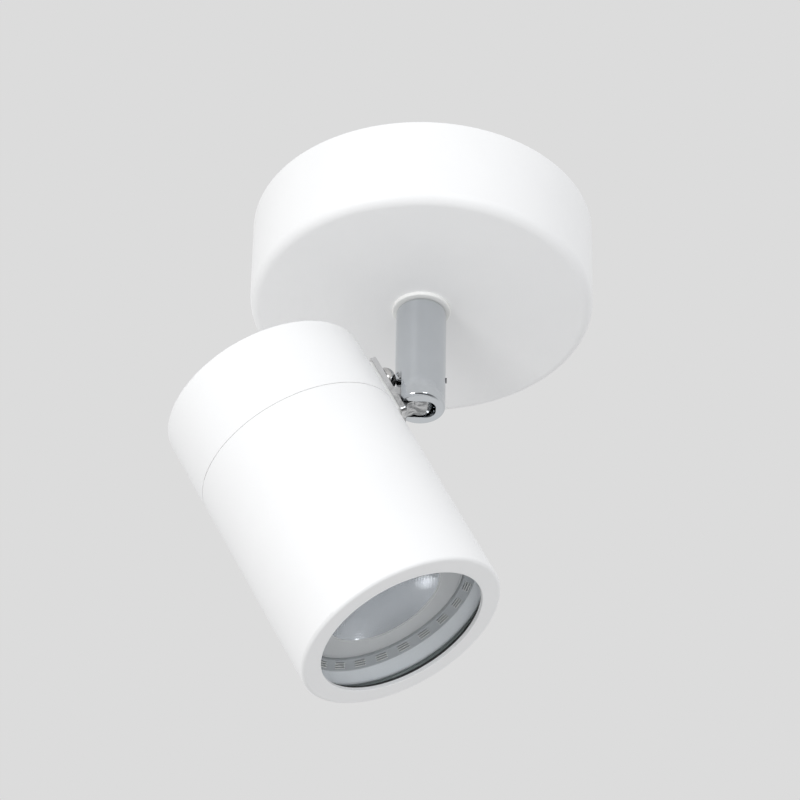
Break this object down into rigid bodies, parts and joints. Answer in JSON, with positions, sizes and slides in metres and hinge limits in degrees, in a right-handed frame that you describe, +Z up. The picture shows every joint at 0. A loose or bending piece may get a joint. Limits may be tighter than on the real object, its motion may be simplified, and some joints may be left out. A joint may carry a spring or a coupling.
{
  "type": "surface mounted ceiling spotlight",
  "caption": "Surface mounted ceiling spotlight: round white canopy, chrome swivel stem and a tilting cylindrical head that holds a twist-lock reflector lamp behind glass.",
  "frame": {"origin": "centre of the canopy in the ceiling plane, midway between the two fixing slots", "axes": "+Z up into the ceiling, so the light hangs below the origin; the head hangs on the -X side of the stem and its opening leans towards +X and down; the fixing slots lie along Y"},
  "size_m": [0.1215, 0.102, 0.1564],
  "materials": {
    "white_paint": "satin white powder coat",
    "chrome": "satin chrome plated",
    "nickel": "nickel plated",
    "zinc_steel": "zinc plated",
    "dark_steel": "black oxide",
    "brass": "plain",
    "white_nylon": "satin",
    "block_plastic": "matt",
    "grey_plastic": "matt",
    "black_rubber": "matt",
    "lead_sleeve": "silicone sleeve",
    "steatite": "unglazed",
    "front_glass": "clear, polished",
    "lamp_housing": "satin",
    "lamp_bezel": "satin grey",
    "lamp_lens": "beaded, translucent",
    "circuit_board": "white solder mask"
  },
  "bodies": {
    "canopy": {"canopy_shell": "white_paint", "ceiling_bracket": "zinc_steel", "canopy_keeper": "zinc_steel", "canopy_screw": "white_paint", "terminal_block": "block_plastic", "terminal_inserts": "brass", "terminal_screws": "zinc_steel", "block_screw": "zinc_steel", "earth_washer": "zinc_steel", "earth_screw": "brass", "supply_lead": "lead_sleeve", "collar_washer": "white_nylon", "stop_plate": "zinc_steel"},
    "stem": {"stem": "chrome", "threaded_nipple": "zinc_steel", "stop_finger": "zinc_steel", "spring_washer": "zinc_steel", "lock_nut": "zinc_steel", "pivot_screw": "chrome", "stem_lead": "lead_sleeve", "lead_bush": "white_nylon", "grub_screw": "dark_steel"},
    "head": {"swivel_knuckle": "nickel", "strap_saddle": "white_nylon", "strap_washer": "dark_steel", "strap_screw": "nickel", "nut_plate": "zinc_steel", "rear_cap": "white_paint", "seal_ring": "black_rubber", "lead_grommet": "black_rubber", "head_lead": "lead_sleeve", "lampholder": "steatite", "holder_contacts": "nickel", "holder_screws": "zinc_steel"},
    "sleeve": {"front_sleeve": "white_paint", "lip_gasket": "black_rubber", "front_glass": "front_glass", "front_baffle": "grey_plastic", "snap_ring": "zinc_steel"},
    "lamp": {"lamp_body": "lamp_housing", "lamp_board": "circuit_board", "lamp_bezel": "lamp_bezel", "lamp_lens": "lamp_lens", "lamp_pins": "nickel"}
  },
  "joints": [
    {"name": "stem_swivel", "type": "hinge", "parent": "canopy", "child": "stem", "pos_m": [0, 0, -0.03], "axis": [0, 0, 1], "range_deg": [-160, 160]},
    {"name": "head_tilt", "type": "hinge", "parent": "stem", "child": "head", "pos_m": [0, 0, -0.0612], "axis": [0, -1, 0], "range_deg": [0, 62]},
    {"name": "sleeve_slide", "type": "slide", "parent": "head", "child": "sleeve", "axis": [0.4509, 0, -0.8926], "range_m": [0, 0.06]},
    {"name": "lamp_twist", "type": "hinge", "parent": "head", "child": "lamp", "pos_m": [-0.04454, 0, -0.06219], "axis": [0.4509, 0, -0.8926], "range_deg": [0, 30]}
  ]
}
